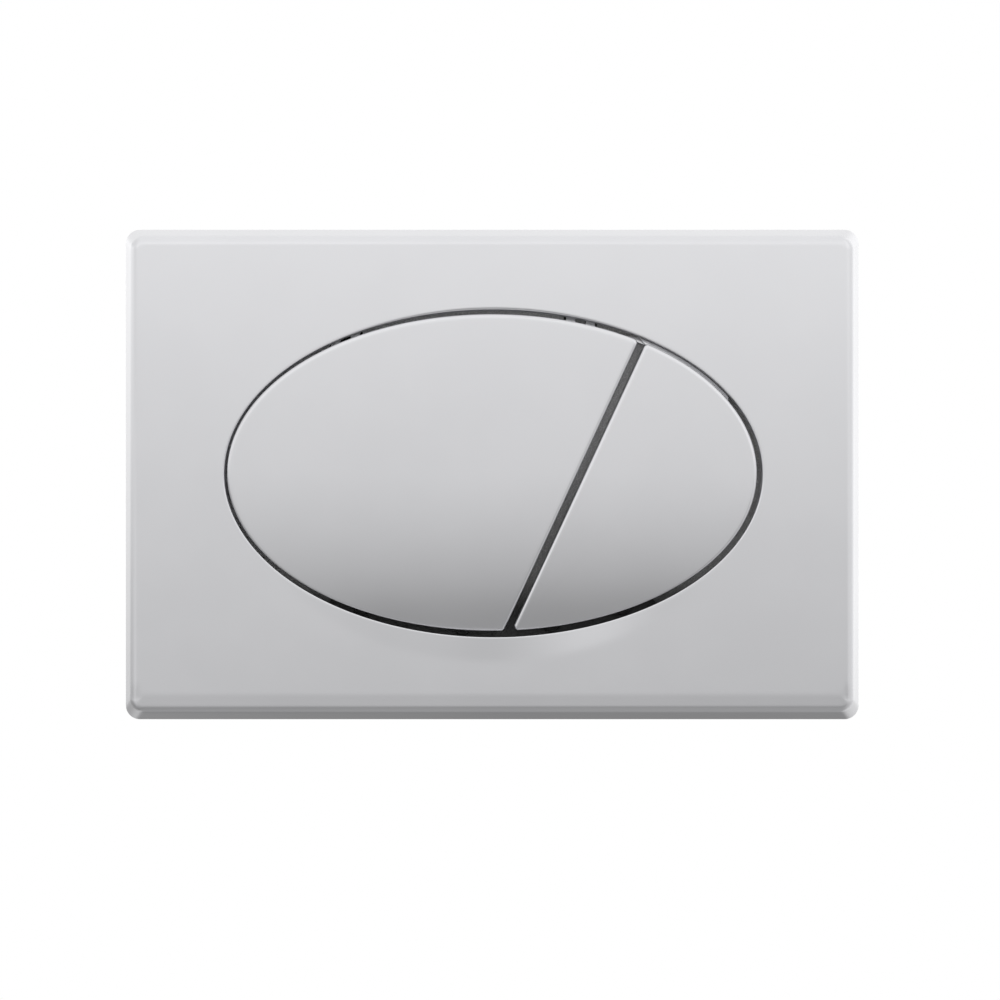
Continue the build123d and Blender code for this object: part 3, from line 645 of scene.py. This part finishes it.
def buttonShells(button):  # skin, ledges, ribs under the crown, hinge lugs, a stop hook and the rod's post
    side, thick, clear = button["side"], caps["rib"] / 2, button["side"] * caps["ribGap"]
    shells = [buttonSkin(button)] + [ledgeSlab(ledge) for ledge in button["ledges"]]
    for x in button["ribs"]:
        reach = ovalHeight(x, caps["ribInset"])
        edge = ((x - caps["offset"]) * cos(lean) - clear) / sin(lean)
        low, high = (max(-reach, edge), reach) if side < 0 else (-reach, min(reach, edge))
        height = np.linspace(low, high, caps["ribSteps"])
        front = np.stack([crown(height)[0] + caps["ribRoot"], height], 1)
        profile = np.vstack([front, [(caps["ribBack"], high), (caps["ribBack"], low)]])
        shells.append(sideSlab(profile, x - thick, x + thick))
    for z in caps["crossRibs"]:
        level = z / (caps["halfHeight"] - caps["ribInset"])
        reach = (caps["halfWidth"] - caps["ribInset"]) * sqrt(1 - level ** 2)
        edge = caps["offset"] + z * tan(lean) + clear / cos(lean)
        depths = (caps["front"] + caps["crossRoot"], caps["crossBack"])
        shells.append(block(sorted((side * reach, edge)), depths, (z - thick, z + thick)))
    for x in button["hinges"]:
        for way in (-1, 1):
            ends = sorted((x + way * caps["lugInner"], x + way * caps["lugOuter"]))
            shells.append(lug(button, *ends))
    x, z = button["hook"]
    depths, half = (caps["hookRoot"], caps["hookStep"], caps["hookEnd"]), caps["hookHalf"]
    hook = barbedStrip(*depths, z + half, z - half, -caps["hookBarb"], 0.0)
    shells.append(sideSlab(hook, x - caps["hookWide"], x + caps["hookWide"]))
    tip = roundedEnd(caps["post"], caps["postTip"], caps["postRound"], 1)
    post = np.vstack([tip, (caps["post"], caps["postRoot"])])
    shells.append(stack(spin(post, side * caps["rodX"], caps["rodZ"]), poles=True))
    return shells


makePiece("large_button", buttonShells(fullButton), "satin_chrome", "full_cap", ("full_button",))
makePiece("small_button", buttonShells(halfButton), "satin_chrome", "half_cap", ("half_button",))


# Lower shelf: strips that carry on the carrier's shelf at both sides, and a wall under the divider by a hinge

lowShelf = {
    "ovalX": 91.45, "ovalZ": 56.55, "width": 7.1, "level": -5.85, "lean": 0.0681, "back": 2.8,
    "strips": ((184, 232), (308, 356)), "wall": (-0.6, 23.0), "wallHalf": 3.45, "steps": 40,
}


def shelfRows(outer, inner):
    # four corners for each step: the front leans back evenly below the hinge, as the pressed buttons do
    rows = []
    for line in (outer, inner):
        rows.append(ringAt(line, lowShelf["level"] + lowShelf["lean"] * (fullButton["hingeZ"] - line[:, 1])))
    for line in (inner, outer):
        rows.append(ringAt(line, lowShelf["back"]))
    return stack(np.stack(rows, 1), poles=True)


def lowShelfShells():  # strips between two ovals, and a wall between two straight lines along the divider
    shells = []
    for ends in lowShelf["strips"]:
        turn = arc(*ends, lowShelf["steps"])
        edges = []
        for inset in (0, lowShelf["width"]):
            halfWidth, halfHeight = lowShelf["ovalX"] - inset, lowShelf["ovalZ"] - inset
            edges.append(np.stack([halfWidth * np.cos(turn), halfHeight * np.sin(turn)], 1))
        shells.append(shelfRows(*edges))
    along = dividerAt + np.linspace(*lowShelf["wall"], lowShelf["steps"])[:, None] * dividerUp
    aside = lowShelf["wallHalf"] * dividerOut
    shells.append(shelfRows(along - aside, along + aside))
    return shells


makePiece("lower_shelf", lowShelfShells(), "dark_moulding", "plate_unit")


# Fixing studs with a rolled thread

studs = {
    "x": 106.375, "front": -9.6, "shoulder": 0.0, "back": 60.0, "crest": 3.0, "thin": 2.675, "deep": 0.6,
    "pitch": 1.0, "rows": 10, "taper": 0.7, "runOut": 1.2, "slack": 0.01,
}


def threadRows(x, z, depth, crest, deep, pitch, steps=40):
    # the radius is a cosine wave along the axis, one wave for each pitch, that moves on by one wave in a turn
    turn = np.linspace(0, 2 * pi, steps, endpoint=False)
    groove = 0.5 - 0.5 * np.cos(2 * pi * depth[:, None] / pitch - turn)
    radius = np.asarray(crest)[..., None] - np.asarray(deep)[..., None] * groove
    across, up = x + radius * np.cos(turn), z + radius * np.sin(turn)
    return np.stack([across, np.repeat(depth[:, None], steps, 1), up], 2)


def studShell(side):  # a thread, thinner in front, whose crest tapers and whose groove runs out at both ends
    depth = np.arange(studs["back"], studs["front"] - studs["slack"], -studs["pitch"] / studs["rows"])
    end = np.minimum(studs["back"] - depth, depth - studs["front"])
    crest = np.where(depth > studs["shoulder"], studs["crest"], studs["thin"])
    crest = crest - np.clip(studs["taper"] - end, 0, studs["taper"])
    deep = studs["deep"] * np.clip(end / studs["runOut"], 0, 1)
    return stack(threadRows(side * studs["x"], 0, depth, crest, deep, studs["pitch"]), poles=True)


for sideName, side in (("left", -1), ("right", 1)):
    studNode = ("fixing_stud_" + sideName,)
    makePiece("stud_" + sideName, [studShell(side)], "zinc_steel", "plate_unit", studNode, sharp=60)


# Hand nuts: a flange and a grip whose radius dips at each flute

handNut = {
    "flange": 7.3, "grip": 6.0, "bore": 2.72, "front": -9.0, "seat": -5.4, "back": -4.0,
    "flutes": 12, "flute": 0.9, "backEase": 0.3, "seatEase": 0.25, "mouth": 0.5,
    "nose": ((0.0, 0.5), (0.15, 0.15), (0.5, 0.0)), "steps": 240,
}


def handNutShell(side):  # rings about the stud: half a circle of each flute is taken off the grip's radius
    turn = np.linspace(0, 2 * pi, handNut["steps"], endpoint=False)
    step = 2 * pi / handNut["flutes"]
    chord = handNut["grip"] * np.sin((turn + step / 2) % step - step / 2)  # from the nearest flute's middle
    grip = handNut["grip"] - np.sqrt(np.clip(handNut["flute"] ** 2 - chord ** 2, 0, None))
    bore, flange, mouth = handNut["bore"], handNut["flange"], handNut["mouth"]
    front, seat, back = handNut["front"], handNut["seat"], handNut["back"]
    rings = [
        (bore, back), (flange - handNut["backEase"], back), (flange, back - handNut["backEase"]),
        (flange, seat + handNut["seatEase"]), (flange - handNut["seatEase"], seat), (grip, seat),
    ]
    rings += [(grip - inward, front + along) for inward, along in handNut["nose"]]
    rings += [(bore + mouth, front), (bore, front + mouth)]
    return roundRows(side * studs["x"], 0, turn, rings)


for sideName, side in (("left", -1), ("right", 1)):
    nutNode = ("clamp_nut_" + sideName,)
    makePiece("hand_nut_" + sideName, [handNutShell(side)], "grey_moulding", "plate_unit", nutNode, sharp=30)


# Carrier screws: threaded shanks with pan heads whose face sinks in a soft cross

screws = {
    "tip": -10.6, "seat": -4.6, "top": -2.6, "flat": 1.9, "edge": 0.9, "belly": 0.02, "hole": 0.4,
    "flatRings": (0.02, 2.0, 26), "edgeRings": (8, 90, 9), "steps": 96,
    "slot": 0.42, "slotEase": 0.16, "arm": 1.45, "armEase": 0.5, "sink": 0.9,
    "shank": 1.45, "deep": 0.32, "pitch": 1.1, "rows": 10, "taper": 0.9, "runOut": 1.5, "bury": 0.2,
    "shankSteps": 24,
}


def screwShells(x, z):
    # the head is flat, then a quarter circle, on a slight parabola; its face sinks where a point lies within
    # a slot's width of one axis and an arm's length of the other
    flat, edge, seat = screws["flat"], screws["edge"], screws["seat"]
    edgeRadius = flat + edge * np.sin(arc(*screws["edgeRings"]))
    radius = np.concatenate([np.linspace(*screws["flatRings"]), edgeRadius])
    over = np.clip((radius - flat) / edge, 0, 1)
    dome = edge * (1 - np.sqrt(1 - over ** 2)) + screws["belly"] * radius ** 2
    turn = np.linspace(0, 2 * pi, screws["steps"], endpoint=False)
    across, up = radius[:, None] * np.cos(turn), radius[:, None] * np.sin(turn)
    near, far = np.minimum(abs(across), abs(up)), np.maximum(abs(across), abs(up))
    sink = np.clip((screws["slot"] - near) / screws["slotEase"] + 0.5, 0, 1)
    sink *= np.clip((screws["arm"] - far) / screws["armEase"] + 0.5, 0, 1)
    cap = np.stack([x + across, screws["top"] - dome[:, None] - screws["sink"] * sink, z + up], 2)
    skirt = spin([(flat + edge, seat), (screws["hole"], seat)], x, z, screws["steps"])
    depth = np.arange(seat + screws["bury"], screws["tip"], -screws["pitch"] / screws["rows"])
    end = depth - screws["tip"]
    crest = screws["shank"] - np.clip(screws["taper"] - end, 0, screws["taper"])
    deep = screws["deep"] * np.clip(end / screws["runOut"], 0, 1)
    shank = threadRows(x, z, depth, crest, deep, screws["pitch"], screws["shankSteps"])
    return [stack(np.concatenate([cap, skirt]), poles=True), stack(shank, poles=True)]


crossScrews = []
for side in (-1, 1):
    for level in (-1, 1):
        crossScrews += screwShells(side * plate["bossX"], level * plate["bossZ"])
makePiece("cross_screws", crossScrews, "zinc_steel", "plate_unit", ("carrier_screws",), sharp=50)


# Push rods with their heads and lock nuts, and the guides, springs and pins around them: turned profiles

rods = {
    "x": caps["rodX"], "z": caps["rodZ"], "radius": 3.0, "tip": 2.5, "front": -1.6, "middle": 20.0,
    "neck": 54.0, "back": 66.0, "nose": 1.2, "neckEase": 0.25, "stepEase": 0.15, "frontEase": 0.4,
    "steps": 96,
}
rodHead = {
    "bore": 3.04, "vent": 0.3, "hub": 4.5, "disc": 8.0,
    "front": -2.6, "floor": -1.65, "discBack": -0.2, "back": 2.8, "hubEase": 0.3, "fillet": 0.4,
    "backEase": ((0.4, 0.0), (0.1, 0.15), (0.0, 0.5)), "frontEase": ((0.0, 0.5), (0.15, 0.15), (0.5, 0.0)),
}
lockNut = {
    "bore": 3.04, "flat": 5.0, "front": 2.8, "back": 5.6, "chamfer": ((0.05, 0.0), (0.35, 0.18), (1.0, 0.6)),
    "mouth": (0.36, 0.3), "steps": 144,
}
bush = {
    "bore": 3.06, "sleeve": 5.0, "flange": 8.0, "front": 11.0, "flangeBack": 12.5, "back": 20.5,
    "mouth": 0.34, "endEase": 0.4, "rimEase": 0.3, "frontEase": 0.2,
}
spring = {
    "front": -0.15, "back": 11.0, "mean": 6.7, "wire": 0.5, "turns": 6.5, "closed": 1.0, "slack": 1.02,
    "steps": 620, "roundSteps": 14,
}
pin = {"radius": 1.5, "half": 5.35, "ease": 0.3, "steps": 40}


def rodShell(x):  # a bar with a rounded nose and a thin neck, and eased edges at the step and in front
    radius, tip, neck, front = rods["radius"], rods["tip"], rods["neck"], rods["front"]
    nose = roundedEnd(tip, rods["back"], rods["nose"], 1)
    body = [
        (tip, neck + rods["neckEase"]), (tip + rods["neckEase"], neck), (radius - rods["stepEase"], neck),
        (radius, neck - rods["stepEase"]), (radius, rods["middle"]), (radius, front + rods["frontEase"]),
        (radius - rods["frontEase"], front),
    ]
    return stack(spin(np.vstack([nose, body]), x, rods["z"]), poles=True)


def headShell(x):  # a hub and a disc with a fillet between, eased edges and a small hole through the face
    bore, vent, hub, disc = rodHead["bore"], rodHead["vent"], rodHead["hub"], rodHead["disc"]
    front, floor, discBack, back = rodHead["front"], rodHead["floor"], rodHead["discBack"], rodHead["back"]
    profile = [
        (bore, back), (hub - rodHead["hubEase"], back), (hub, back - rodHead["hubEase"]),
        (hub, discBack + rodHead["fillet"]), (hub + rodHead["fillet"], discBack),
    ]
    profile += [(disc - inward, discBack - along) for inward, along in rodHead["backEase"]]
    profile += [(disc - inward, front + along) for inward, along in rodHead["frontEase"]]
    profile += [(vent, front), (vent, floor), (bore, floor)]
    return stack(spin(profile, x, rods["z"], rods["steps"]), wrap=True)


def nutShell(x):  # a hexagon's radius, held within a circle that shrinks towards both faces
    turn = np.linspace(0, 2 * pi, lockNut["steps"], endpoint=False)
    hexagon = lockNut["flat"] / np.cos((turn + pi / 6) % (pi / 3) - pi / 6)
    bore, flat, front, back = lockNut["bore"], lockNut["flat"], lockNut["front"], lockNut["back"]
    limits = [(bore, back - lockNut["mouth"][1]), (bore + lockNut["mouth"][0], back)]
    limits += [(flat + outward, back - along) for outward, along in lockNut["chamfer"]]
    limits += [(flat + outward, front + along) for outward, along in lockNut["chamfer"][::-1]]
    limits += [(bore, front)]
    return roundRows(x, rods["z"], turn, [(np.minimum(hexagon, limit), depth) for limit, depth in limits])


def guideShell(x):  # a sleeve with a flange in front, eased at the edges and at both mouths
    bore, sleeve, flange, wide = bush["bore"], bush["sleeve"], bush["flange"], bush["bore"] + bush["mouth"]
    front, flangeBack, back = bush["front"], bush["flangeBack"], bush["back"]
    profile = [
        (bore, back - bush["endEase"]), (wide, back),
        (sleeve - bush["endEase"], back), (sleeve, back - bush["endEase"]),
        (sleeve, flangeBack), (flange - bush["rimEase"], flangeBack), (flange, flangeBack - bush["rimEase"]),
        (flange, front + bush["frontEase"]), (flange - bush["frontEase"], front), (wide, front),
        (bore, front + bush["rimEase"]),
    ]
    return stack(spin(profile, x, rods["z"], rods["steps"]), wrap=True)


def springShell(x):
    # a tube round a helix whose pitch shrinks to the wire's width in the closed end turns
    lap = spring["turns"] * np.linspace(0, 1, spring["steps"])
    slow = np.clip(np.minimum(lap, spring["turns"] - lap) / spring["closed"], 0, 1)
    opening = (1 - np.cos(pi * np.clip((slow - 0.5) * 2, 0, 1))) / 2
    extra = np.concatenate([[0], np.cumsum((opening[1:] + opening[:-1]) / 2)])  # rise beyond the closed pitch
    closedPitch = 2 * spring["wire"] * spring["slack"]
    room = spring["back"] - spring["front"] - 2 * spring["wire"]
    height = lap * closedPitch + (room - spring["turns"] * closedPitch) * extra / extra[-1]
    turn = 2 * pi * lap
    out = np.stack([np.cos(turn), np.zeros(spring["steps"]), np.sin(turn)], 1)
    centre = spring["mean"] * out
    centre[:, 1] = spring["front"] + spring["wire"] + height
    along = np.gradient(centre, axis=0)
    along /= np.linalg.norm(along, axis=1)[:, None]
    third = np.cross(along, out)
    girth = np.linspace(0, 2 * pi, spring["roundSteps"], endpoint=False)[:, None]
    rows = centre[:, None] + spring["wire"] * (np.cos(girth) * out[:, None] + np.sin(girth) * third[:, None])
    return stack(rows + np.array([x, 0, rods["z"]]), poles=True)


def pinShell(x, hingeZ):  # a bar with eased ends, turned about Y and then laid along X
    radius, half, ease = pin["radius"], pin["half"], pin["ease"]
    profile = [(radius - ease, half), (radius, half - ease), (radius, ease - half), (radius - ease, -half)]
    points, faces = stack(spin(profile, 0, 0, pin["steps"]), poles=True)
    return points[:, [1, 0, 2]] + np.array([x, caps["hingeY"], hingeZ]), faces


for name, button in (("full", fullButton), ("half", halfButton)):
    x, rodBody = button["side"] * rods["x"], name + "_rod"
    makePiece(name + "_rod", [rodShell(x)], "natural_nylon", rodBody, (name + "_push_rod",))
    makePiece(name + "_head", [headShell(x)], "grey_moulding", rodBody, (name + "_rod_head",))
    makePiece(name + "_lock_nut", [nutShell(x)], "grey_moulding", rodBody, (name + "_rod_nut",), sharp=25)
    makePiece(name + "_bush", [guideShell(x)], "natural_nylon", "plate_unit", (name + "_rod_guide",))
    springNode = (name + "_return_spring",)
    coil = makePiece(name + "_coil", [springShell(x)], "bright_steel", "plate_unit", springNode, sharp=60)
    anchor = (x * mm, spring["back"] * mm, rods["z"] * mm)
    name + "_rod_slide"
    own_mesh(coil)
    pins = [pinShell(place, button["hingeZ"]) for place in button["hinges"]]
    makePiece(name + "_pins", pins, "bright_steel", "plate_unit", (name + "_hinge_pins",))


# Rubber pads behind the buttons' lower edge

pads = {
    "places": (-44.0, -10.0, 20.0, 44.0), "inset": 0.9, "front": 0.8, "back": 2.6,
    "radius": 3.0, "round": 0.6, "steps": 48,
}


def padShell(x):  # a turned disc with a rounded front edge
    edge = roundedEnd(pads["radius"], pads["front"], pads["round"], -1)[::-1]
    profile = np.vstack([(pads["radius"], pads["back"]), edge])
    return stack(spin(profile, x, -ovalHeight(x, pads["inset"]), pads["steps"]), poles=True)


makePiece("rubber_pads", [padShell(x) for x in pads["places"]], "pad_rubber", "plate_unit", ("stop_pads",))


# Studio: a soft world that is brighter above and to the right, a pale floor well below, and the camera

light = {
    # radiance by the height of the ray: -1 straight down, 1 straight up, placed from 0 to 1
    "sky": (
        (0.0, 0.41), (0.12, 0.37), (0.20, 0.33), (0.265, 0.34), (0.33, 0.475), (0.405, 0.555), (0.456, 0.615),
        (0.514, 0.77), (0.552, 1.08), (0.604, 1.25), (0.66, 1.08), (0.75, 1.05), (1.0, 1.02),
    ),
    "horizon": 0.033, "steep": 0.76, "rightSteep": 0.67, "wall": 0.6, "wallRise": 0.32, "corner": 0.68,
    "rightLift": 0.28, "frontLift": 0.2, "leftRise": 0.95, "leftFall": 0.45, "lowDim": 0.2,
}
patches = {  # each patch of the world by the smooth steps of the ray's parts that bound it
    "right": {"right": (-0.3, 0.3)},
    "sides": {"aside": (0.35, 0.75)},
    "sideTop": {"up": (-0.5, 0.2)},
    "corners": {"aside": (0.2, 0.36), "behind": (-0.2, 0.4), "up": (-0.08, -0.2)},
    "rear": {"behind": (0.45, 0.75), "up": (-0.25, 0.0)},
    "rightWall": {"right": (0.3, 0.6), "behind": (-0.4, 0.5)},
    "rightFront": {"right": (0.3, 0.6), "behind": (-0.2, -0.5), "up": (0.0, 0.15)},
    "leftWall": {"right": (-0.3, -0.6), "behind": (-0.75, -0.1), "up": (0.4, 0.1)},
    "leftTop": {"up": (-0.2, 0.25)},
    "lowRear": {"behind": (0.3, 0.8), "up": (-0.1, -0.3)},
}
stage = {  # in metres, apart from the lens and its sensor
    "floorDrop": -1.0, "floorRadius": 1.2, "floorSteps": 96, "floorGrey": 0.8, "floorGlow": 0.45,
    "camera": (0.00263, -0.713, -0.0086), "lens": 76.13, "sensor": 36.0, "near": 0.01,
}


def buildWorld():  # a level of light for each direction, which patches lift or dim
    world = bpy.data.worlds.new("studio")
    bpy.context.scene.world = world
    world.use_nodes = True
    tree = world.node_tree
    tree.nodes.clear()
    right, behind, up = Wire.node(tree, "TexCoord", out="Generated").split()
    parts = {"right": right, "aside": abs(right), "behind": behind, "up": up}
    paths = ("Is Camera Ray", "Is Glossy Ray", "Is Transmission Ray")
    camera, glossy, through = (Wire.node(tree, "LightPath", out=path) for path in paths)

    def patch(name):  # 1 inside the patch, 0 well outside it
        return prod(parts[part].between(*ends) for part, ends in patches[name].items())

    steep = light["steep"] + light["rightSteep"] * patch("right")  # the shading is steeper on the right
    height = light["horizon"] + (up - light["horizon"]) * steep
    level = Wire.node(tree, "ValToRGB", {"stops": light["sky"]}, {0: height * 0.5 + 0.5})
    wall = light["wall"] + light["wallRise"] * patch("sideTop")
    level = level + (wall - level) * patch("sides")  # a more even wall at each side
    corners = patch("corners")
    level = level + (light["corner"] - level) * corners
    level = level + (1 - level) * patch("rear") * (glossy + through)  # reflections show white there
    leftLift = light["leftRise"] * patch("leftTop") - light["leftFall"]
    lift = 1 + light["rightLift"] * patch("rightWall") + light["frontLift"] * patch("rightFront")
    lift = lift + leftLift * patch("leftWall")
    dim = 1 - light["lowDim"] * patch("lowRear") * (1 - corners)
    level = level * lift * dim
    level = level + (1 - level) * camera  # and the camera sees white
    back = Wire.node(tree, "Background", {}, {"Color": level, "Strength": 1.0})
    Wire.node(tree, "OutputWorld", {}, {"Surface": back})


def buildFloor():  # a disc that is brighter to the camera and left out of reflections
    turn = np.linspace(0, 2 * pi, stage["floorSteps"], endpoint=False)
    rim = np.stack([np.cos(turn), np.sin(turn)], 1) * stage["floorRadius"]
    mesh = bpy.data.meshes.new("studio_floor")
    mesh.from_pydata([(x, y, stage["floorDrop"]) for x, y in rim], [], [list(range(len(rim)))])
    material = bpy.data.materials.new("pale_floor")
    material.use_nodes = True
    tree = material.node_tree
    tree.nodes.clear()
    seen = Wire.node(tree, "LightPath", out="Is Camera Ray")
    matt = Wire.node(tree, "BsdfDiffuse", {}, {"Color": (*grey(stage["floorGrey"]), 1)})
    glow = Wire.node(tree, "Emission", {}, {"Color": (1, 1, 1, 1), "Strength": stage["floorGlow"]})
    both = Wire.node(tree, "AddShader", {}, {0: matt, 1: glow})
    shader = Wire.node(tree, "MixShader", {}, {0: seen, 1: matt, 2: both})
    Wire.node(tree, "OutputMaterial", {}, {"Surface": shader})
    mesh.materials.append(material)
    floor = bpy.data.objects.new("studio_floor", mesh)
    bpy.context.scene.collection.objects.link(floor)
    floor.visible_glossy = False


def buildCamera():  # level, and straight in front of the plate
    view = bpy.data.cameras.new("camera")
    view.type = "PERSP"
    view.lens = stage["lens"]
    view.sensor_width = stage["sensor"]
    view.clip_start = stage["near"]
    eye = bpy.data.objects.new("camera", view)
    eye.location = stage["camera"]
    eye.rotation_euler = (pi / 2, 0, 0)
    bpy.context.scene.collection.objects.link(eye)
    bpy.context.scene.camera = eye


buildWorld()
buildFloor()
buildCamera()
bpy.context.scene.view_settings.view_transform = "Standard"
print("studio made")

bpy.context.view_layer.update()
